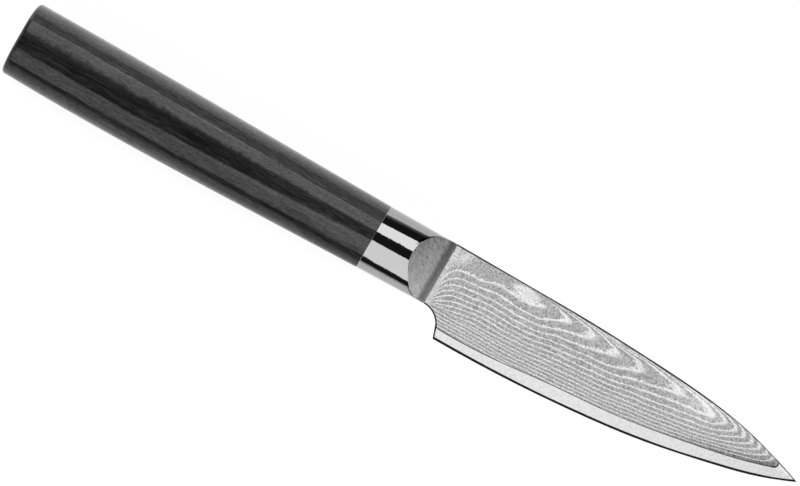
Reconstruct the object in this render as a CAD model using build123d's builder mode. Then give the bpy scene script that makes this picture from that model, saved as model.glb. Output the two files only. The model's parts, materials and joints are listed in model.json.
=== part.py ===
from build123d import *
import os
from math import cos, radians, sin, tan

os.makedirs("parts", exist_ok=True)

# A paring knife lying on its left side. +X runs from the butt to the tip, +Y from the cutting edge
# to the spine, and the right side of the blade faces up. Lengths are in millimetres.

# Blade
blade_length = 88.9  # heel corner to tip
blade_depth = 21.7  # spine line to heel corner
tip_drop = 8.2  # spine line down to the tip
spine_thickness = 2.0  # at the shoulder
tip_thickness = 1.34  # of the ground faces, carried on to the tip along the spine line
heel_thickness = 0.85  # of the ground faces, carried down to the edge at the shoulder
core_thickness = 0.6
core_reveal = 3.0  # height of bare core above the edge at mid blade
edge_bevel_width = 0.4
edge_bevel_thickness = 0.2
spine_chamfer = 0.22
choil_chamfer = 0.16
land_angle = 30.0  # slope of the cladding's lower border

# Outline of the blade: shares of the blade length from the heel, with shares of the tip's drop below
# the spine line or of its rise above the heel corner
spine_shares = ((0.278, 0.0), (0.476, 0.061), (0.723, 0.25), (0.863, 0.537), (0.926, 0.732))
edge_shares = (
    (0.0, 0.0),
    (0.227, 0.04),
    (0.413, 0.133),
    (0.6, 0.289),
    (0.785, 0.541),
    (0.91, 0.763),
    (1.0, 1.0),
)
nose_slope_share = 3.07  # drop per blade length, in tip drops, of the spine where the cladding ends
tip_slope_share = 2.93  # rise per blade length, in tip rises, of the edge at the tip
# Border of the cladding, from tip to heel: shares of the edge's length, with shares of the core reveal
border_shares = (
    (0.925, 0.93),
    (0.83, 0.95),
    (0.68, 1.03),
    (0.49, 1.05),
    (0.317, 1.12),
    (0.165, 0.9),
    (0.0, 0.83),
)

# Heel and choil
heel_setback = 5.8  # shoulder to heel corner
heel_lean = 1.2  # the heel's back edge leans forward by this much
heel_height = 3.34  # straight back edge of the heel
heel_drop = 6.02  # the bolster's lower corner down to the heel corner

# Stub tang
tang_height = 7.0
tang_layer = 0.2  # cladding left on each side of the core
tang_drop = 4.4  # spine line to the tang's upper edge
tang_lap = 9.0  # stub tang beyond the bolster's spigot

# Grip: height, dip of its top below the spine line and right-hand width at each station
handle_length = 92.9
rest_depth = 7.0  # blade's middle plane to the flat left side
flat_cut = 0.6  # depth of the flat in the left side's curve
butt_height = 18.1
butt_dip = 0.2
butt_width = 8.6
palm_share = 0.3  # of the handle's length
palm_height = 18.3
palm_dip = 0.02
palm_width = 8.8
waist_share = 0.65  # of the handle's length
waist_height = 17.35
waist_dip = 0.08
waist_width = 8.1
joint_height = 16.1
joint_dip = 0.15
joint_width = 7.2
shoulder_width = 6.7
grip_ridge_share = 0.33  # of the height, from the top down to the ridge on the right side
waist_ridge_share = 0.36
joint_ridge_share = 0.4
shoulder_ridge_share = 0.39
grip_corner_share = 0.758  # how full the curve below the ridge is: 0.707 makes it an ellipse
waist_corner_share = 0.74
joint_corner_share = 0.694
top_corner_share = 0.72  # the same for the curve above the ridge
shoulder_corner_share = 0.694
shoulder_top_corner_share = 0.758
butt_length = 3.0  # straight part at the butt
butt_fillet = 0.9

# Bolster
bolster_length = 17.8
bolster_round = 0.2  # of the rim against the handle
facet_slope = 40.4  # of the flat part of the facet
facet_radius = 6.8  # hollow between the flat part and the blade
facet_toe_slope = 16.0  # where the hollow meets the blade
spigot_length = 4.0
slot_clearance = 0.03
bore_clearance = 0.05

# Tang bar
bar_thickness = 3.4
fork_root = 5.0  # solid length behind the slot
fork_gap = 0.3  # room behind the stub tang
shank_height = 5.0
tenon_radius = 1.7
tenon_length = 4.0
weld_radius = 0.9
glue_gap = 0.35  # least thickness of adhesive round the tang

# End cap
cap_rim = 2.0  # wood left round the cap
cap_thickness = 1.6
cap_chamfer = 0.15
boss_wall = 1.65
boss_length = 6.0

overrun = 2.0  # how far every cut runs past what it cuts

# Places along X, from the butt to the tip
overall_length = handle_length + bolster_length + heel_setback + blade_length
butt_x = -overall_length / 2
joint_x = butt_x + handle_length
shoulder_x = joint_x + bolster_length
heel_x = shoulder_x + heel_setback
spigot_x = joint_x - spigot_length
tang_x = spigot_x - tang_lap
fork_x = tang_x - fork_gap - fork_root
boss_x = butt_x + cap_thickness + boss_length

# Places across it
spine_y = blade_depth / 2
tang_top_y = spine_y - tang_drop
tang_y = tang_top_y - tang_height / 2
blade_z = rest_depth
blade_plane = Plane.XY.offset(blade_z)

shoulder_height = blade_depth - heel_drop
tang_thickness = core_thickness + 2 * tang_layer
left_width = rest_depth + flat_cut
spigot_radius = tang_height / 2 + weld_radius + glue_gap
fork_pocket_radius = spigot_radius + bore_clearance
boss_radius = tenon_radius + bore_clearance + boss_wall
shank_bore_radius = Vector(shank_height / 2, bar_thickness / 2).length + glue_gap


def cross_plane(x):
    """Plane across the knife at x: its own x axis points to the spine and its y axis to the right side."""
    return Plane(origin=(x, 0, blade_z), x_dir=(0, 1, 0), z_dir=(1, 0, 0))


# Curves of the blade's outline, in plan
edge_rise = blade_depth - tip_drop
tip = Vector(heel_x + blade_length, spine_y - tip_drop)
heel_corner = Vector(heel_x, spine_y - blade_depth)
choil_end = heel_corner + Vector(-heel_lean, heel_height)
shoulder_top = Vector(shoulder_x, spine_y)
shoulder_low = Vector(shoulder_x, spine_y - shoulder_height)

spine_curve = Spline(
    [(heel_x + along * blade_length, spine_y - drop * tip_drop) for along, drop in spine_shares],
    tangents=[(1, 0), (blade_length, -nose_slope_share * tip_drop)],
)
tip_arc = TangentArc(spine_curve @ 1, tip, tangent=spine_curve % 1)
edge_curve = Spline(
    [(heel_x + along * blade_length, heel_corner.Y + rise * edge_rise) for along, rise in edge_shares],
    tangents=[(1, 0), (blade_length, tip_slope_share * edge_rise)],
)
spine_line = Line(shoulder_top, spine_curve @ 0)
choil_arc = TangentArc(shoulder_low, choil_end, tangent=(1, 0))
heel_line = Line(heel_corner, choil_end)
shoulder_line = Line(shoulder_low, shoulder_top)


def sharp_outline():
    """The blade's full outline, down to the cutting edge."""
    return [spine_line, spine_curve, tip_arc, edge_curve, heel_line, choil_arc, shoulder_line]


def bevelled_outline():
    """The outline where the edge bevel begins, just above the cutting edge."""
    tip_angle = (tip_arc % 1).get_angle(edge_curve % 1)
    tip_setback = edge_bevel_width / sin(radians(tip_angle))
    tip_spine = tip_arc.edge().trim(0, 1 - tip_setback / tip_arc.length)
    heel_bevel = heel_line @ (edge_bevel_width / heel_line.length)
    rise = Vector(0, edge_bevel_width)
    middle = [edge_curve @ along + rise for along, share in border_shares[1:-1]]
    bevel_line = Spline([tip_spine @ 1, *middle, heel_bevel])
    heel_edge = Line(heel_bevel, choil_end)
    return [spine_line, spine_curve, tip_spine, bevel_line, heel_edge, choil_arc, shoulder_line]


def cladding_outline(setback):
    """The outline of the cladding, with its lower border drawn back by the setback."""
    back_share = setback / edge_curve.length
    points = [
        edge_curve @ max(along - back_share, 0) + Vector(0, rise * core_reveal + setback)
        for along, rise in border_shares
    ]
    border = Spline(points)
    body_spine = spine_curve.edge().trim(0, 1 - setback / spine_curve.length)
    nose = TangentArc(border @ 0, body_spine @ 1, tangent=-(border % 0))
    choil = choil_arc.edge().trim(0, 1 - setback / choil_arc.length)
    heel_round = TangentArc(border @ 1, choil @ 1, tangent=(-1, 0))
    return [spine_line, body_spine, nose, border, heel_round, choil, shoulder_line]


def tang_outline(height):
    """The stub tang's outline at a height above the blade's middle plane."""
    with BuildSketch(blade_plane.offset(height)) as outline:
        with Locations((tang_x, tang_y)):
            Rectangle(shoulder_x - tang_x, tang_height, align=(Align.MIN, Align.CENTER))
    return outline.sketch


# Hard core: bevelled from the cladding's border to the cutting edge
half_core = core_thickness / 2
half_bevel = edge_bevel_thickness / 2
core_sections = (
    (-half_core, cladding_outline(0)),
    (-half_bevel, bevelled_outline()),
    (0, sharp_outline()),
    (half_bevel, bevelled_outline()),
    (half_core, cladding_outline(0)),
)
with BuildPart() as blade_core:
    for height, outline in core_sections:
        with BuildSketch(blade_plane.offset(height)):
            with BuildLine():
                add(outline)
            make_face()
    loft(ruled=True)
    extrude(tang_outline(-half_core), amount=core_thickness)
blade_core.part.label = "blade_core"
export_step(blade_core.part, "parts/blade_core.step")

# Patterned cladding: its outer face is a plane that thins towards the edge and the tip
half_spine = spine_thickness / 2
taper_along = (spine_thickness - tip_thickness) / 2 / (heel_setback + blade_length)
taper_down = (spine_thickness - heel_thickness) / 2 / blade_depth
along_face = Vector(1, 0, -taper_along)
up_face = Vector(0, 1, taper_down)
right_face = Plane(
    origin=(0, 0, blade_z + half_spine + taper_along * shoulder_x - taper_down * spine_y),
    x_dir=along_face,
    z_dir=along_face.cross(up_face),
)
land_rise = half_spine - half_core + spine_chamfer
with BuildPart() as spine_cut:
    with BuildSketch(right_face):
        with BuildLine():
            inward = Location((0, -spine_chamfer))
            add([curve.moved(inward) for curve in (spine_line, spine_curve, tip_arc)])
            Polyline(
                shoulder_top - (0, spine_chamfer),
                shoulder_top + (0, 2 * overrun),
                (tip.X, spine_y + 2 * overrun),
                tip - (0, spine_chamfer),
            )
        make_face()
    extrude(amount=overrun, dir=(0, -1, 1), both=True)

with BuildPart() as choil_cut:
    with BuildSketch(right_face):
        with BuildLine():
            inward = Location((choil_chamfer, choil_chamfer))
            add([curve.moved(inward) for curve in (choil_arc, heel_line)])
            Polyline(
                shoulder_low + (choil_chamfer, choil_chamfer),
                shoulder_low - (overrun, 0),
                heel_corner - (overrun, 0),
                heel_corner + (choil_chamfer, choil_chamfer),
            )
        make_face()
    extrude(amount=overrun, dir=(1, 1, 1), both=True)

with BuildPart() as cladding_right:
    for rise in (0, land_rise):
        with BuildSketch(blade_plane.offset(half_core + rise)):
            with BuildLine():
                add(cladding_outline(rise / tan(radians(land_angle))))
            make_face()
    loft(ruled=True)
    split(bisect_by=right_face, keep=Keep.BOTTOM)
    add(spine_cut.part, mode=Mode.SUBTRACT)
    add(choil_cut.part, mode=Mode.SUBTRACT)
    extrude(tang_outline(half_core), amount=tang_thickness / 2 - half_core)
cladding_right.part.label = "cladding_right"
export_step(cladding_right.part, "parts/cladding_right.step")

with BuildPart() as cladding_left:
    mirror(cladding_right.part, about=blade_plane)
cladding_left.part.label = "cladding_left"
export_step(cladding_left.part, "parts/cladding_left.step")


def quarter_curve(ridge, reach, width, corner_share):
    """A quarter of an oval, from the edge of the section to its ridge."""
    middle = (ridge + corner_share * reach, corner_share * width)
    return Spline([(ridge + reach, 0), middle, (ridge, width)], tangents=[(0, width), (-reach, 0)])


def grip_section(x, height, dip, width, ridge_share, lower_share, upper_share, inset=0):
    """One closed section across the grip: steep above the ridge, fuller below it, even on the left side."""
    top = spine_y - dip
    bottom = top - height + inset
    ridge = top - ridge_share * height
    middle = top - height / 2
    half = height / 2 - inset
    right = width - inset
    left = left_width - inset
    with BuildSketch(cross_plane(x)) as section:
        with BuildLine():
            quarter_curve(ridge, top - inset - ridge, right, upper_share)
            quarter_curve(ridge, bottom - ridge, right, lower_share)
            EllipticalCenterArc((middle, 0), half, left, start_angle=180, arc_size=90)
            EllipticalCenterArc((middle, 0), half, left, start_angle=270, arc_size=90)
        make_face()
    return section.sketch


def butt_section(x, inset=0):
    """The section of the grip's straight end."""
    shape = (butt_height, butt_dip, butt_width, grip_ridge_share, grip_corner_share, top_corner_share)
    return grip_section(x, *shape, inset)


def joint_section():
    """The section that the handle and the bolster share where they meet."""
    shape = (joint_height, joint_dip, joint_width, joint_ridge_share, joint_corner_share, top_corner_share)
    return grip_section(joint_x, *shape)


# Handle
with BuildPart() as cap_recess:
    recess_rim = cap_rim - bore_clearance
    extrude(butt_section(butt_x, recess_rim), amount=cap_thickness)
    split(bisect_by=Plane.XY.offset(recess_rim), keep=Keep.TOP)

palm_x = butt_x + palm_share * handle_length
waist_x = butt_x + waist_share * handle_length
with BuildPart() as handle:
    extrude(butt_section(butt_x), amount=butt_length)
    palm = (palm_height, palm_dip, palm_width, grip_ridge_share, grip_corner_share, top_corner_share)
    waist = (waist_height, waist_dip, waist_width, waist_ridge_share, waist_corner_share, top_corner_share)
    loft(
        [
            butt_section(butt_x + butt_length),
            grip_section(palm_x, *palm),
            grip_section(waist_x, *waist),
            joint_section(),
        ]
    )
    split(bisect_by=Plane.XY, keep=Keep.TOP)
    fillet(handle.faces().sort_by(Axis.X)[0].outer_wire().edges(), radius=butt_fillet)
    # Recess for the cap, pocket for its boss, long bore for the shank and pocket for the fork
    add(cap_recess.part, mode=Mode.SUBTRACT)
    with BuildSketch(cross_plane(butt_x)):
        with Locations((tang_y, 0)):
            Circle(boss_radius + bore_clearance)
    extrude(amount=boss_x - butt_x, mode=Mode.SUBTRACT)
    with BuildSketch(cross_plane(butt_x)):
        with Locations((tang_y, 0)):
            Circle(shank_bore_radius)
    extrude(amount=handle_length, mode=Mode.SUBTRACT)
    with BuildSketch(cross_plane(joint_x)):
        with Locations((tang_y, 0)):
            Circle(fork_pocket_radius)
    extrude(amount=-(joint_x - fork_x + glue_gap), mode=Mode.SUBTRACT)
handle.part.label = "handle"
export_step(handle.part, "parts/handle.step")

# Bolster: each facet is ground flat, with a hollow that runs out on the blade's face
with BuildPart() as facet_cut:
    facet_line = Plane(
        origin=(shoulder_x, spine_y, blade_z + half_spine),
        x_dir=(1, 0, 0),
        z_dir=-up_face,
    )
    with BuildSketch(facet_line):
        with BuildLine():
            hollow = CenterArc(
                (facet_radius * sin(radians(facet_toe_slope)), facet_radius * cos(radians(facet_toe_slope))),
                facet_radius,
                270 - facet_toe_slope,
                facet_toe_slope - facet_slope,
            )
            flat_length = (joint_width + overrun) / sin(radians(facet_slope))
            ground_flat = Line(hollow @ 1, hollow @ 1 + (hollow % 1) * flat_length)
            Polyline(ground_flat @ 1, (overrun, (ground_flat @ 1).Y), (overrun, 0), hollow @ 0)
        make_face()
    extrude(amount=joint_height + overrun, both=True)

with BuildPart() as bolster:
    corners = (shoulder_corner_share, shoulder_top_corner_share)
    shoulder = (shoulder_height, 0, shoulder_width, shoulder_ridge_share, *corners)
    loft([joint_section(), grip_section(shoulder_x, *shoulder)], ruled=True)
    split(bisect_by=Plane.XY, keep=Keep.TOP)
    fillet(bolster.faces().sort_by(Axis.X)[0].edges(), radius=bolster_round)
    add(facet_cut.part, mode=Mode.SUBTRACT)
    mirror(facet_cut.part, about=blade_plane, mode=Mode.SUBTRACT)
    with BuildSketch(cross_plane(joint_x)):
        with Locations((tang_y, 0)):
            Circle(spigot_radius)
    extrude(amount=-spigot_length)
    with BuildSketch(cross_plane(spigot_x)):
        with Locations((tang_y, 0)):
            Rectangle(tang_height + 2 * slot_clearance, tang_thickness + 2 * slot_clearance)
    extrude(amount=shoulder_x - spigot_x, mode=Mode.SUBTRACT)
bolster.part.label = "bolster"
export_step(bolster.part, "parts/bolster.step")

# Tang bar
with BuildPart() as tang_bar:
    with BuildSketch(cross_plane(fork_x)):
        with Locations((tang_y, 0)):
            Rectangle(tang_height, bar_thickness)
    extrude(amount=spigot_x - fork_x)
    with BuildSketch(cross_plane(spigot_x)):
        with Locations((tang_y, 0)):
            Rectangle(tang_height, tang_thickness + 2 * slot_clearance)
    extrude(amount=-(tang_lap + fork_gap), mode=Mode.SUBTRACT)
    with BuildSketch(cross_plane(fork_x)):
        with Locations((tang_y, 0)):
            Rectangle(shank_height, bar_thickness)
    extrude(amount=boss_x - fork_x)
    with BuildSketch(cross_plane(boss_x)):
        with Locations((tang_y, 0)):
            Circle(tenon_radius)
    extrude(amount=-tenon_length)
tang_bar.part.label = "tang_bar"
export_step(tang_bar.part, "parts/tang_bar.step")

# Weld beads on the fork's upper and lower seams
with BuildPart() as tang_weld:
    for seam_y, side in ((tang_top_y, 0), (tang_top_y - tang_height, 180)):
        with BuildSketch(cross_plane(tang_x)):
            with BuildLine():
                CenterArc((seam_y, 0), weld_radius, side - 90, 180)
                Line((seam_y, -weld_radius), (seam_y, weld_radius))
            make_face()
        extrude(amount=tang_lap)
tang_weld.part.label = "tang_weld"
export_step(tang_weld.part, "parts/tang_weld.step")

# Adhesive that fills the bore round the tang
with BuildPart() as tang_adhesive:
    with BuildSketch(cross_plane(boss_x)):
        with Locations((tang_y, 0)):
            Circle(shank_bore_radius)
    extrude(amount=fork_x - boss_x)
    with BuildSketch(cross_plane(spigot_x)):
        with Locations((tang_y, 0)):
            Circle(fork_pocket_radius)
    extrude(amount=-(spigot_x - fork_x + glue_gap))
    for held in (tang_bar, tang_weld, blade_core, cladding_right, cladding_left):
        add(held.part, mode=Mode.SUBTRACT)
tang_adhesive.part.label = "tang_adhesive"
export_step(tang_adhesive.part, "parts/tang_adhesive.step")

# End cap
with BuildPart() as end_cap:
    extrude(butt_section(butt_x, cap_rim), amount=cap_thickness)
    split(bisect_by=Plane.XY.offset(cap_rim), keep=Keep.TOP)
    chamfer(end_cap.faces().sort_by(Axis.X)[0].edges(), length=cap_chamfer)
    with BuildSketch(cross_plane(butt_x + cap_thickness)):
        with Locations((tang_y, 0)):
            Circle(boss_radius)
    extrude(amount=boss_length)
    with BuildSketch(cross_plane(boss_x)):
        with Locations((tang_y, 0)):
            Circle(tenon_radius + bore_clearance)
    extrude(amount=-(tenon_length + fork_gap), mode=Mode.SUBTRACT)
end_cap.part.label = "end_cap"
export_step(end_cap.part, "parts/end_cap.step")
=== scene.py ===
# %% [markdown]
# # A paring knife, dressed for a photograph
# The knife lies on its left side. +X runs from the butt to the tip, +Y from the cutting edge to the
# spine, and +Z points up, out of the blade's right side.
# The frame brings the nine pieces of the construction at their real size: a hard core, a patterned
# cladding on each side of it, the bolster, the handle with its end cap, and the tang inside with its
# weld and its epoxy. Their shapes are right as they are, so none is modelled again. What a kitchen
# knife is judged by is its steel, and each piece gets a finish that is worked out from the way the
# real one is ground, etched or polished.

# %% Load the frame
import json
import math

import bpy
import bmesh
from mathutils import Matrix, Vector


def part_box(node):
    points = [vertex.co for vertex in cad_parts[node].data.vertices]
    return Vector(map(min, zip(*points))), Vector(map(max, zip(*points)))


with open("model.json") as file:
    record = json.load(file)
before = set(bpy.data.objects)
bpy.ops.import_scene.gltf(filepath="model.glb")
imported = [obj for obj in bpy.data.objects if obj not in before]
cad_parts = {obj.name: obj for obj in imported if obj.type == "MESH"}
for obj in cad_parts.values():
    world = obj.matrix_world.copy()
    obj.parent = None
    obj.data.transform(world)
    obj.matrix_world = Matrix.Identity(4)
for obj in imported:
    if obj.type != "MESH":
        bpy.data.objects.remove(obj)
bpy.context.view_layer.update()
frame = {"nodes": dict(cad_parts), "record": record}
nodes = frame["nodes"]

# %% [markdown]
# A finish follows the shape that it lies on, so it needs a few sizes of the knife. The main ones are
# read from the boxes round the pieces. All are kept in millimetres, because a maker thinks of a blade
# in them.
# The blade's curves are given as shares: how far along the blade, and how much of the tip's drop or of
# the edge's rise is reached there. The same shares shape the real outline.

# %% Sizes of the blade
mm = 0.001


def millimetres(node):
    """The low and the high corner of the box round a piece."""
    low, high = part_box(node)
    return [value / mm for value in low], [value / mm for value in high]


core_low, core_high = millimetres("blade_core")
shoulder_x = millimetres("bolster")[1][0]
handle_low, handle_high = (corner[1] for corner in millimetres("handle"))
blade_z = (core_low[2] + core_high[2]) / 2  # middle plane of the blade
spine_y, heel_y, tip_x = core_high[1], core_low[1], core_high[0]
heel_setback = 5.8  # from the bolster to the heel's corner
heel_x = shoulder_x + heel_setback
tip_drop = 8.2  # spine line down to the tip
edge_rise = spine_y - tip_drop - heel_y
core_reveal = 2.9  # bare core above the edge
half_spine = 1.0  # half the blade's thickness at the spine
thins_ahead = 0.003483  # what each side loses per millimetre towards the tip
thins_down = 0.026498  # and towards the edge
spine_shares = [(0, 0), (0.278, 0), (0.476, 0.061), (0.723, 0.25), (0.863, 0.537), (0.926, 0.732), (1, 1)]
edge_shares = [(0, 0), (0.227, 0.04), (0.413, 0.133), (0.6, 0.289), (0.785, 0.541), (0.91, 0.763), (1, 1)]
blade_length, blade_depth = tip_x - heel_x, spine_y - heel_y
print("blade:", round(blade_length, 1), "by", round(blade_depth, 1), "mm, at z", round(blade_z, 2))

# %% [markdown]
# The camera looks straight down on the blade's right side, and is turned so that the knife lies on a
# slant with its butt at the upper left. An orthographic camera would leave perspective out, but a
# flat mirror would show it one single tone. A long lens from far away keeps the outline nearly as
# true and the reflections livelier, as in a catalogue picture.

# %% Camera
view_turn = math.radians(30.12)
view_height = 1.2
view_width = 0.1838  # what the image's width covers at the blade
view_centre = (-3.71 * mm, 4.44 * mm)

lens = bpy.data.cameras.new("lens")
lens.sensor_width = 36.0
lens.lens = lens.sensor_width * (view_height - blade_z * mm) / view_width
camera = bpy.data.objects.new("camera", lens)
camera.location = (*view_centre, view_height)
camera.rotation_euler = (0, 0, view_turn)
bpy.context.scene.collection.objects.link(camera)
bpy.context.scene.camera = camera
print("lens:", round(lens.lens, 1), "mm")

# %% [markdown]
# Polished steel has no colour of its own: it shows the room. The studio here is two long soft boxes
# that run along the knife. The bolster mirrors them as two white stripes, and the gaps beside them
# turn black. Each box is given by the angles, from straight up, at which its two edges stand as seen
# from the knife, with positive angles towards the spine. That way a stripe is moved by one number.
# Only their light and their mirror image are wanted, so the camera doesn't see the boxes themselves.

# %% Soft boxes
box_distance = 0.6
box_length = 0.68


def soft_box(name, low_angle, high_angle, brightness):
    """A light along the knife, between two angles from straight up."""
    middle = math.radians(low_angle + high_angle) / 2
    half = math.radians(high_angle - low_angle) / 2
    light = bpy.data.lights.new(name, "AREA")
    light.shape = "RECTANGLE"
    light.size = box_length
    light.size_y = 2 * box_distance * math.tan(half)
    light.energy = brightness * math.pi * light.size * light.size_y
    box = bpy.data.objects.new(name, light)
    box.location = (0, box_distance * math.sin(middle), blade_z * mm + box_distance * math.cos(middle))
    box.rotation_euler = (-middle, 0, 0)
    box.visible_camera = False
    bpy.context.scene.collection.objects.link(box)
    print(name, "is", round(light.size_y, 3), "m wide and gives", round(light.energy, 2), "W")


soft_box("spine_box", -1.4, 35, 1.98)
soft_box("edge_box", -67, -25, 1.62)

# %% [markdown]
# A finish is a formula: brightness here, roughness there, as they change over the steel. It could be
# drawn as a wall of nodes, but a formula is easier to read as Python. So a Wire stands for one socket,
# and arithmetic on it adds the Math nodes, also when the plain number comes first, as in 1 - mask. Its
# few named curves are the maker's tools, such as a soft step and a hill.

# %% A wire that does arithmetic
class Wire:
    """One value in a finish. Arithmetic on it adds Math nodes."""

    def __init__(self, tree, socket):
        self.tree = tree
        self.socket = socket

    def maths(self, operation, *values):
        return self.tree.node("ShaderNodeMath", {"operation": operation}, dict(enumerate(values)))

    def __add__(self, other):
        return self.maths("ADD", self, other)

    def __sub__(self, other):
        return self.maths("SUBTRACT", self, other)

    def __rsub__(self, other):
        return self.maths("SUBTRACT", other, self)

    def __mul__(self, other):
        return self.maths("MULTIPLY", self, other)

    def __truediv__(self, other):
        return self.maths("DIVIDE", self, other)

    def __pow__(self, power):
        return self.maths("POWER", self, power)

    def __neg__(self):
        return self.maths("MULTIPLY", self, -1)

    __radd__ = __add__
    __rmul__ = __mul__

    def exp(self):
        return self.maths("EXPONENT", self)

    def abs(self):
        return self.maths("ABSOLUTE", self)

    def fract(self):
        return self.maths("FRACT", self)

    def least(self, other):
        """The smaller of the two."""
        return self.maths("MINIMUM", self, other)

    def most(self, other):
        """The larger of the two."""
        return self.maths("MAXIMUM", self, other)

    def step(self, start, end):
        """Rises smoothly from 0 to 1 while the value goes from start to end."""
        sockets = {"Value": self, "From Min": start, "From Max": end}
        return self.tree.node("ShaderNodeMapRange", {"interpolation_type": "SMOOTHSTEP"}, sockets)

    def hill(self, place, width):
        """A smooth hill of height 1 at a place."""
        return (-(((self - place) / width) ** 2)).exp()

    def curve(self, points):
        """A smooth curve through points, each a pair of values from 0 to 1."""
        return self.tree.node("ShaderNodeFloatCurve", {"points": points}, {"Value": self})


# %% [markdown]
# Every other node comes from one method, which takes the node's type, its settings and what goes into
# its sockets. Each finish reads its place on the knife from Object coordinates: the origin of every
# piece is the knife's own, so a pattern in millimetres stays put on the steel, and runs on from one
# piece to the next. The finished materials are gathered by name.

# %% Trees and finishes
class Tree:
    """A node tree, written as formulas."""

    def __init__(self, node_tree):
        self.nodes = node_tree.nodes
        self.links = node_tree.links
        self.nodes.clear()

    def node(self, kind, settings=None, sockets=None, output=0):
        """Adds a node, sets it up, feeds its sockets and returns one of its outputs."""
        node = self.nodes.new(kind)
        for name, value in (settings or {}).items():
            if name == "points":
                self.draw_curve(node.mapping, value)
            else:
                setattr(node, name, value)
        for name, value in (sockets or {}).items():
            if isinstance(value, Wire):
                self.links.new(value.socket, node.inputs[name])
            else:
                node.inputs[name].default_value = value
        return Wire(self, node.outputs[output])

    def draw_curve(self, mapping, points):
        curve = mapping.curves[0]
        for place in points[2:]:
            curve.points.new(*place)
        for point, place in zip(curve.points, points):
            point.location = place
        mapping.update()

    def place(self):
        """Where a point of the surface is on the knife, in millimetres."""
        sockets = {"Vector": self.node("ShaderNodeTexCoord", output="Object"), "Scale": 1 / mm}
        return self.node("ShaderNodeVectorMath", {"operation": "SCALE"}, sockets)

    def split(self, vector):
        return [self.node("ShaderNodeSeparateXYZ", None, {"Vector": vector}, axis) for axis in "XYZ"]

    def join(self, x, y, z):
        return self.node("ShaderNodeCombineXYZ", None, {"X": x, "Y": y, "Z": z})

    def noise(self, vector, scale=1.0, detail=2.0, roughness=0.5):
        """Smooth noise from -1 to 1, with this many grains to a millimetre."""
        sockets = {"Vector": vector, "Scale": scale, "Detail": detail, "Roughness": roughness}
        return self.node("ShaderNodeTexNoise", None, sockets) * 2 - 1

    def grey(self, value):
        """A neutral colour of that brightness."""
        return self.node("ShaderNodeCombineColor", None, {"Red": value, "Green": value, "Blue": value})

    def mix(self, share, first, second):
        """A colour between two colours."""
        return self.node("ShaderNodeMix", {"data_type": "RGBA"}, {0: share, 6: first, 7: second}, 2)

    def relief(self, height):
        """A normal from a height in millimetres."""
        return self.node("ShaderNodeBump", None, {"Height": height, "Distance": mm, "Strength": 1.0})

    def finish(self, kind, surface):
        """Ends the tree in an output node."""
        self.links.new(surface.socket, self.nodes.new(kind).inputs["Surface"])


class Finish(Tree):
    """A material, made of one Principled shader."""

    def __init__(self, name):
        self.material = bpy.data.materials.new(name)
        self.material.use_nodes = True
        super().__init__(self.material.node_tree)

    def surface(self, **sockets):
        """Ends the material in its shader, with these sockets."""
        named = {name.replace("_", " "): value for name, value in sockets.items()}
        self.finish("ShaderNodeOutputMaterial", self.node("ShaderNodeBsdfPrincipled", None, named))
        print(self.material.name, "has", len(self.nodes), "nodes")
        return self.material


finishes = {}

# %% [markdown]
# The patterned steel and the core both need to know where the blade's outline is. Two Float Curve
# nodes carry the shares of the spine and of the edge, so a finish can say how far in it is from either.
# The narrow bevels at the outline, the eased spine, the stoned choil and the sharpened edge, face away
# from the lights, so from above each would be a thin dark line round the blade. The finishes paint that
# line near black as painted shade, and it makes the outline crisp. Seen from here the real bevels are
# about a pixel wide, so the painted line is a little wider. The line along the spine thins towards the
# tip.

# %% Outline of the blade
line_width = 0.36  # of the painted dark line
edge_inset = 0.22  # the line of the sharpened bevel is wider than the others by this much
tip_outset = 0.14  # and the spine's line is thinner by this much at the tip
choil_radius = 5.29
shoulder_rise = 6.02  # from the heel's corner up to the bolster's lower corner, where the choil begins
choil_y = heel_y + shoulder_rise - choil_radius
back_rise, back_lean = 3.34, 1.2  # of the heel's back edge
back_top = heel_y + back_rise
out_of_reach = 9.0  # takes the heel's back edge out of the measure above its top
print("choil: radius", choil_radius, "mm, centre at", (round(shoulder_x, 2), round(choil_y, 2)))


def blade_curves(x):
    """The height of the spine and of the cutting edge at x."""
    from_heel = ((x - heel_x) / blade_length).most(0).least(1)
    spine = spine_y - from_heel.curve(spine_shares) * tip_drop
    edge = heel_y + from_heel.curve(edge_shares) * edge_rise
    return spine, edge


def near_outline(x, y, spine, edge):
    """1 on the narrow bevels round the blade, where painted shade goes, 0 on its faces."""
    from_spine = spine - y + tip_outset * x.step(76, 86)
    from_edge = y - edge - edge_inset
    from_choil = ((x - shoulder_x) ** 2 + (y - choil_y) ** 2) ** 0.5 - choil_radius
    from_back = ((x - heel_x) * back_rise + (y - heel_y) * back_lean) / math.hypot(back_rise, back_lean)
    from_back = from_back + y.step(back_top - 0.1, back_top + 0.2) * out_of_reach
    inside = from_spine.least(from_edge).least(from_choil).least(from_back)
    return 1 - inside.step(line_width * 0.75, line_width * 1.2)


# %% [markdown]
# The cladding is forged from many thin layers of two steels, pressed into hills and ground flat, so the
# grinding cuts through them and lays the layers bare as contour lines. Etching then darkens one steel
# and leaves the other bright. It could be painted on an image, but an image blurs from close by, and
# wood-grain noise looks nothing like forged steel. So the lines are drawn the way they came about: a
# layer number is worked out for every point, and a bright line lies wherever it passes a whole number.
# The first step is how deep a point lies below the ridge of the hill. The ridge runs close under the
# spine, and at the bolster the lines fan out from the neck, where the forging drew the steel together.

# %% Depth below the ridge
neck_y = -4.18  # where the lines of the neck fan out from
fan_rate = 0.0068  # how fast they straighten, per millimetre from the shoulder
fan_reach = 5.0  # from the shoulder to where they straighten faster
ridge_end = 97.5  # x towards which the ridge nears the spine
ridge_slope = 0.11  # how fast it nears it
least_depth, most_depth = 0.5, 2.6  # of the ridge below the spine
ridge_dip = 0.7  # how much deeper it dips at one place
print("the ridge lies", least_depth, "to", round(most_depth + ridge_dip, 2), "mm below the spine")


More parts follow.
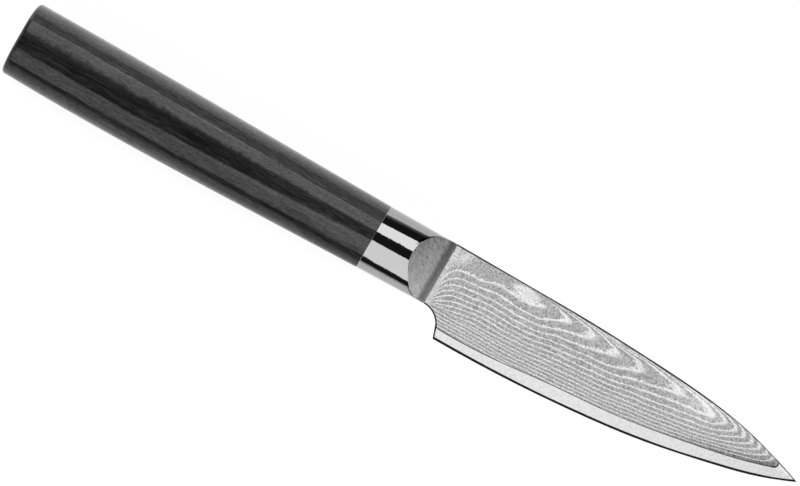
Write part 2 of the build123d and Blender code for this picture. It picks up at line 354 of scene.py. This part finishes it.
def below_ridge(x, y, spine):
    """How far a point lies below the ridge of the pattern, and where the ridge is."""
    ahead = (x - shoulder_x).most(0.05)
    up = (y - neck_y).most(0)
    spread = fan_rate * ahead * (1 + (ahead / fan_reach) ** 2) * (1 - 0.55 * up.step(8.5, 12.5))
    fanned = (up ** 3 + up * up / (up + 0.3) / spread) ** (1 / 3) + (y - neck_y).least(0) + neck_y
    ridge_depth = ((ridge_end - x) * ridge_slope + 0.6).least(most_depth).most(least_depth)
    ridge = spine - ridge_depth - ridge_dip * x.hill(52, 5)
    depth = ridge - fanned
    sway = 1.35 * x.hill(20.6, 3.6) - 0.45 * x.hill(28.5, 3.6)
    return depth + sway * (-(depth.most(0)) / 6.4).exp(), ridge


# %% [markdown]
# The layer number starts with the one met along the ridge, given as pairs of a share of the blade's
# length and a number. Below the ridge it climbs to the fourteenth layer at the border of the core, and
# above it climbs steeply again, which closes the lines to the long noses seen near the spine.

# %% Layer number
ridge_layers = [
    (0.0, -0.35), (0.063, -0.38), (0.112, -0.6), (0.148, -0.45), (0.178, -0.22), (0.205, -0.06),
    (0.235, 0.0), (0.262, 0.12), (0.312, 1), (0.391, 2), (0.461, 3), (0.535, 4), (0.63, 5), (0.733, 6),
    (0.772, 7), (0.8034, 8), (0.83, 9), (0.8543, 10), (0.8786, 11), (0.9004, 12), (0.9199, 13),
    (0.9356, 13.8), (1.0, 15),
]
border_layer = 14.0
layer_span = 16  # a Float Curve holds values up to 1, so the numbers are divided by this
print("the ridge is given at", len(ridge_layers), "places, and the core's border is layer", border_layer)


def layer_number(x, y, spine, border):
    """Which layer of the steel shows, its depth below the ridge as a share, and its height above it."""
    depth, ridge = below_ridge(x, y, spine)
    inner = depth.most(0) / (ridge - border).most(2)
    along = ((x - shoulder_x) / (tip_x - shoulder_x)).most(0).least(1)
    on_ridge = along.curve([(at, (layer + 1) / layer_span) for at, layer in ridge_layers]) * layer_span - 1
    straight = 0.45 - 0.22 * x.hill(61, 12)
    share = straight * ((inner * inner + 0.0049) ** 0.5 - 0.07) + (1.05 - straight) * inner * inner
    above = (-depth).most(0)
    steep = x.step(22, 36)
    climb = ((0.02 + 0.16 * steep) * above ** 3).least(0.2 + 3 * steep)
    return on_ridge + (border_layer - on_ridge).most(0) * share + climb, inner, above


# %% [markdown]
# Two scales of noise bend the lines, and where the ridge lies flat they are cut wide. Near the bolster
# nothing shows above the ridge but one lone hill, which the grinding only just reached: there the
# bright steel lies bare as a pool.

# %% Bright steel
pool_x, pool_depth = 27.2, 1.75  # centre, with its depth below the spine
pool_length, pool_height = 3.7, 1.1  # from the centre out
print("the pool is about", round(2 * pool_length, 1), "by", round(2 * pool_height, 1), "mm")


def bright_steel(steel, x, y, spine, border, speckle):
    """1 on the bright steel and 0 on the dark, and the depth below the ridge as a share."""
    layer, inner, above = layer_number(x, y, spine, border)
    wander = steel.noise(steel.join(x * 0.14, y * 0.4, 0.0))
    quiver = steel.noise(steel.join(x * 0.9, y * 1.6, 3.0), 1.0, 3.0)
    layer = layer + wander * 0.3 + quiver * 0.16 + speckle * 0.14
    crest = (layer.fract() - 0.5).abs() * 2
    on_flat_ridge = (-(inner * inner * 60)).exp() * x.step(34, 42)
    width = 0.36 + inner.least(1) * 0.2 + 0.3 * on_flat_ridge
    closed = above.step(0.3, 0.9) * (1 - x.step(31, 37))
    lines = crest.step(1 - width, 1 - width * 0.1) * (1 - closed)
    from_pool = ((x - pool_x) / pool_length) ** 2 + ((spine - y - pool_depth) / pool_height) ** 2
    pool = 1 - (from_pool + quiver * 0.5 + speckle * 0.4).step(0.6, 1.3)
    return lines.most(0.8 * pool), inner


# %% [markdown]
# Bead blasting after the etch leaves a fine speckle of bright and dark pits. The bright lines stand a
# few micrometres proud, so a shallow relief lets the light catch them. Close to the core near the tip the
# steel is made darker, and at the neck the etch hardly bites. The walls of the cladding, seen from the
# side, were cut through all the layers: there the finish finds a point that lies below the ground face.
# The narrow land where the cladding steps down to the core is painted near black, as painted shade of
# that step, and the deeper walls get a plain grey.

# %% Patterned steel
def patterned_steel():
    steel = Finish("patterned_steel")
    place = steel.place()
    x, y, z = steel.split(place)
    spine, edge = blade_curves(x)
    border = edge + core_reveal
    speckle = steel.noise(place, 2.4, 2.0, 0.65)
    bright, inner = bright_steel(steel, x, y, spine, border, speckle)

    grain = steel.noise(place, 5.0, 2.0, 0.6)
    cloud = steel.noise(steel.join(x * 0.25, y * 0.5, 8.0))
    pits = speckle.step(-0.35, 0.35) - 0.5
    pale_ridge = 0.2 * x.hill(74.5, 6) * (-inner * 4).exp()
    pale_neck = 0.2 * (1 - x.step(8.6, 9.8)) + 0.24 * (x - y * 0.4).hill(7.3, 1.5) * y.step(5.5, 8.5)
    # darker close to the core towards the tip
    darker_near_core = 0.22 * (1 - (y - border).step(0.2, 2.6)) * x.step(60, 90)
    tone = 0.45 + bright * 0.42 + pits * 0.36 + grain * 0.2 + cloud * 0.07
    tone = tone + pale_ridge + pale_neck - darker_near_core

    face = half_spine - (x - shoulder_x) * thins_ahead - (spine_y - y) * thins_down
    below_face = face - (z - blade_z).abs()
    # the shallow land at the core's border is painted near black, as painted shade of the step; deeper
    # walls get a plain grey
    wall = below_face.step(0.012, 0.035)
    tone = tone * (1 - wall) + wall * (0.03 + below_face.step(0.14, 0.24) * 0.4)
    # the bevels round the outline are painted near black: painted shade
    line = near_outline(x, y, spine, edge) * (1 - below_face.step(0.3, 0.4))
    tone = tone * (1 - line) + 0.015 * line
    return steel.surface(
        Base_Color=steel.grey(tone.most(0.012).least(1)), Metallic=1.0, Roughness=0.4 - bright * 0.06,
        Normal=steel.relief(bright * 0.004 + speckle * 0.006),
    )


finishes["patterned_steel"] = patterned_steel()

# %% [markdown]
# The core is a hard steel of one kind, so it has no pattern. Its bare band along the edge is ground
# after the etch and stays almost white under the lights, with fine scratches across the edge. The last
# few tenths of a millimetre are the sharpened bevel.

# %% Core steel
def core_steel():
    steel = Finish("core_steel")
    place = steel.place()
    x, y, z = steel.split(place)
    spine, edge = blade_curves(x)
    scratches = steel.noise(steel.join(x * 3, y * 0.8, z), 1.0, 3.0)
    speckle = steel.noise(place, 2.0)
    # the bevels round the outline are painted near black: painted shade
    line = near_outline(x, y, spine, edge)
    tone = (0.95 + scratches * 0.06 + speckle * 0.22).least(1) * (1 - line) + line * 0.015
    return steel.surface(
        Base_Color=steel.grey(tone), Metallic=1.0, Roughness=0.5, Normal=steel.relief(scratches * 0.002),
    )


finishes["core_steel"] = core_steel()

# %% [markdown]
# The bolster is polished to a mirror, and then a half-moon facet is ground on each side, flat with a
# hollow that runs out on the blade. Its border could be drawn as a curve, but it needs no drawing: the
# finish works out the ground surface from the same slope and radius as the real grinding, and every
# point that lies on it belongs to the facet.

# %% The ground surface of the facet
facet_slope = math.radians(40.4)
facet_toe = math.radians(16)  # where the hollow meets the blade
hollow_radius = 6.8
hollow_x = shoulder_x - hollow_radius * (math.sin(facet_slope) - math.sin(facet_toe))
print("the facet turns hollow at x", round(hollow_x, 2))


def above_facet(x, y, z):
    """How far a point lies outside the ground facet, in millimetres."""
    reach = (z - blade_z).abs() - half_spine + (spine_y - y) * thins_down
    flat_rise = hollow_radius * (math.cos(facet_toe) - math.cos(facet_slope))
    flat = ((hollow_x - x) * math.tan(facet_slope) + flat_rise - reach) * math.cos(facet_slope)
    axis_x = shoulder_x + hollow_radius * math.sin(facet_toe)
    axis_rise = hollow_radius * math.cos(facet_toe)
    hollow = ((x - axis_x) ** 2 + (reach - axis_rise) ** 2) ** 0.5 - hollow_radius
    on_flat = (hollow_x - x).step(-0.01, 0.01)
    return on_flat * flat + (1 - on_flat) * hollow


# %% [markdown]
# A facet is left blasted and brushed, so it reads as a soft grey beside the mirror. It is also painted
# a little paler towards the blade and its edge: painted light, a gradient of shading across the facet.
# At the top and at the bottom the arris round it is painted as a thin dark line, a painted reflection
# of the dark of the room. The mirror is not perfect either: the polishing wheel leaves the faintest
# lines across.

# %% Polished steel
facet_back = -1.5  # x behind which everything is mirror


def polished_steel():
    steel = Finish("polished_steel")
    place = steel.place()
    x, y, z = steel.split(place)
    above = above_facet(x, y, z)
    ahead = x.step(facet_back - 0.1, facet_back + 0.1)
    facet = (1 - above.step(0.03, 0.06)) * ahead
    mirror = 1 - facet
    top_or_bottom = y.step(5.5, 7.5) + 1 - y.step(-4.5, -2.5)
    # a thin dark line painted along the arris at top and bottom: a painted reflection of the dark room
    painted_arris_shade = above.step(0.02, 0.06) * (1 - above.step(0.25, 0.6)) * ahead * top_or_bottom
    blast = steel.noise(place, 2.0, 3.0, 0.7)
    brushed = steel.noise(steel.join((x + y) * 3.2, (x - y) * 0.5, z * 0.5), 1.0, 3.0, 0.65)
    wheel = steel.noise(steel.join(x * 6, y * 0.3, z * 0.3))
    # painted light: the facet's colour grows paler towards the blade and its edge
    painted_facet_light = (spine_y - y) / 16 + (x - shoulder_x) / 12
    tone = 0.36 + wheel * 0.05 * mirror + facet * (0.065 + painted_facet_light * 0.36 + brushed * 0.4 + blast * 0.35)
    return steel.surface(
        Base_Color=steel.grey(tone * (1 - 0.9 * painted_arris_shade)), Metallic=1.0,
        Roughness=0.055 + wheel * 0.012 * mirror + facet * 0.32,
        Normal=steel.relief(facet * (blast * 0.003 + brushed * 0.003)),
    )


finishes["polished_steel"] = polished_steel()

# %% [markdown]
# The handle is thin sheets of wood, dyed nearly black, soaked in resin and pressed into one block. It
# is sanded and waxed, not varnished. Dark wood shows its grain only as faint streaks that run the
# length of the handle, broken by short pores. Noise that is stretched along X gives them, and a slow
# wave in it keeps them from looking ruled. A curve over the handle's height paints some bands of it
# paler: painted light, standing for the light that the part towards the spine catches. The middle of
# the height is also paler towards the bolster. The shine is the wax: a clear coat, thinner over the
# pores and where the fingers close round the grip.

# %% Handle wood
painted_light_bands = [  # share of the handle's height, and how much painted light the band there gets
    (0.0, 0.0), (0.28, 0.0), (0.73, 0.02), (0.765, 0.62),
    (0.84, 0.62), (0.88, 0.2), (0.92, 0.5), (1.0, 0.7),
]


def handle_wood():
    wood = Finish("handle_wood")
    x, y, z = wood.split(wood.place())
    wave = wood.noise(wood.join(x * 0.09, y * 0.25, z * 0.25), 1.0, 3.0)
    across = y + wave * 1.2
    streaks = wood.noise(wood.join(x * 0.09, across * 2.2, z * 1.2), 1.0, 3.0, 0.75).step(-0.3, 0.35)
    fibres = wood.noise(wood.join(x * 0.3, across * 6, z * 5), 1.0, 2.0, 0.65).step(-0.3, 0.3)
    pores = wood.noise(wood.join(x * 1.8, y * 3.4, z * 3.4), 1.0, 3.0, 0.8)

    height = (y + wave * 0.5 - handle_low) / (handle_high - handle_low)
    # painted light: paler bands over the handle's height, towards the spine
    sheet = height.most(0).least(1).curve(painted_light_bands)
    middle = height.hill(0.54, 0.14) * (0.2 + x.step(-55, -12))
    tone = 0.002 + 0.03 * streaks * (0.15 + fibres)
    tone = tone + sheet * (0.06 + 0.05 * fibres) + middle * (0.004 + 0.02 * fibres)

    worn = 0.25 * (1 - height.step(0.32, 0.42))
    waxed = 0.64 + streaks * 0.12 + fibres * 0.12 + pores - worn
    return wood.surface(
        Base_Color=wood.grey((tone * (1 + pores * 0.8)).most(0.001)), Roughness=0.4,
        Specular_IOR_Level=0.1, Coat_Weight=waxed.most(0).least(1), Coat_Roughness=0.12, Coat_IOR=1.58,
        Normal=wood.relief(pores * 0.003 + fibres * 0.002),
    )


finishes["handle_wood"] = handle_wood()

# %% [markdown]
# Four finishes stay mostly out of sight. The end cap is brushed steel, with fine lines that run from
# one side of the handle to the other. The tang bar keeps the skin of the mill, and the weld is duller
# still. Those two differ in brightness and roughness alone, so one function makes both. The epoxy
# round the tang is a cloudy amber.

# %% Small metals and epoxy
def brushed_steel():
    steel = Finish("cap_steel")
    x, y, z = steel.split(steel.place())
    brushed = steel.noise(steel.join(x * 0.5, y * 7, z * 0.5), 1.0, 3.0, 0.6)
    return steel.surface(
        Base_Color=steel.grey(0.62 + brushed * 0.08), Metallic=1.0, Roughness=0.26 + brushed * 0.05,
        Normal=steel.relief(brushed * 0.002),
    )


def plain_steel(name, tone, roughness):
    steel = Finish(name)
    grain = steel.noise(steel.place(), 2.0, 3.0, 0.6)
    colour = steel.grey(tone + grain * tone * 0.1)
    return steel.surface(Base_Color=colour, Metallic=1.0, Roughness=roughness + grain * 0.05)


def epoxy():
    resin = Finish("adhesive")
    cloud = resin.noise(resin.place(), 0.6)
    pale, deep = (0.6, 0.52, 0.36, 1), (0.45, 0.38, 0.25, 1)
    return resin.surface(Base_Color=resin.mix(cloud * 0.5 + 0.5, pale, deep), Roughness=0.3)


finishes["cap_steel"] = brushed_steel()
finishes["bar_steel"] = plain_steel("bar_steel", 0.5, 0.4)
finishes["weld"] = plain_steel("weld", 0.4, 0.5)
finishes["adhesive"] = epoxy()

# %% [markdown]
# The record says which finish each piece gets. Every piece of the frame has one, the hidden ones too,
# because the knife can be taken apart.

# %% Fit the finishes
for piece in frame["record"]["subparts"]:
    mesh = nodes[piece["node"]].data
    mesh.materials.clear()
    mesh.materials.append(finishes[piece["material_slot"]])
    print(piece["node"], "is finished in", piece["material_slot"])

# %% [markdown]
# A knife cut out against white has next to no shadow. The floor is a sheet of white paper, modelled as
# one large square. A white floor alone would still show a shadow, so the paper also glows by itself:
# the glow fills the shadow under the knife and lights the undersides of the handle and the bolster, as
# a light table does.

# %% Floor
floor_half = 3.0  # half the sheet's side, in metres
sheet = bmesh.new()
bmesh.ops.create_grid(sheet, x_segments=1, y_segments=1, size=floor_half)
floor_mesh = bpy.data.meshes.new("floor")
sheet.to_mesh(floor_mesh)
sheet.free()
floor = bpy.data.objects.new("floor", floor_mesh)
bpy.context.scene.collection.objects.link(floor)

paper = Finish("floor_paper")
fibres = paper.noise(paper.place(), 0.02)
floor_mesh.materials.append(paper.surface(
    Base_Color=paper.grey(0.2 + fibres * 0.01), Roughness=0.8,
    Emission_Color=(1, 1, 1, 1), Emission_Strength=0.88,
))

# %% [markdown]
# The room round the boxes is dark, which keeps the black stripes black. Four parts of it are lighter:
# its two ends, which the facets and the butt look at, and, low down near the floor, the side of the
# edge and a little the side of the spine. The world's Generated coordinate is the direction looked in,
# so each glow is a soft step on it. What the camera itself sees is an even near-white.

# %% Room
darkness = 0.018  # what is left of the light in the dark parts
backdrop = 0.95  # what the camera sees behind the floor

room = bpy.data.worlds.new("room")
room.use_nodes = True
bpy.context.scene.world = room
bpy.context.scene.view_settings.view_transform = "Standard"

sky = Tree(room.node_tree)
dx, dy, dz = sky.split(sky.node("ShaderNodeTexCoord", output="Generated"))
ends = dx.abs().step(0.3, 0.7)
beyond_tip = dx.step(-0.1, 0.1)
to_spine = dy.step(-0.1, 0.1)
spine_glow = 0.2 * (1 - dz.step(0.0, 0.35)) * to_spine
edge_glow = 0.6 * (1 - dz.step(0.1, 0.16)) * (1 - to_spine)
end_glow = (1 - dz.step(0.1, 0.5)) * beyond_tip + (1 - dz.step(0.4, 0.9)) * (1 - beyond_tip)
glow = (spine_glow + edge_glow) * (1 - ends) + end_glow * ends + darkness
by_camera = sky.node("ShaderNodeLightPath", output="Is Camera Ray")
brightness = by_camera * backdrop + (1 - by_camera) * glow
sky.finish("ShaderNodeOutputWorld", sky.node("ShaderNodeBackground", None, {"Color": sky.grey(brightness)}))
print("room has", len(sky.nodes), "nodes")
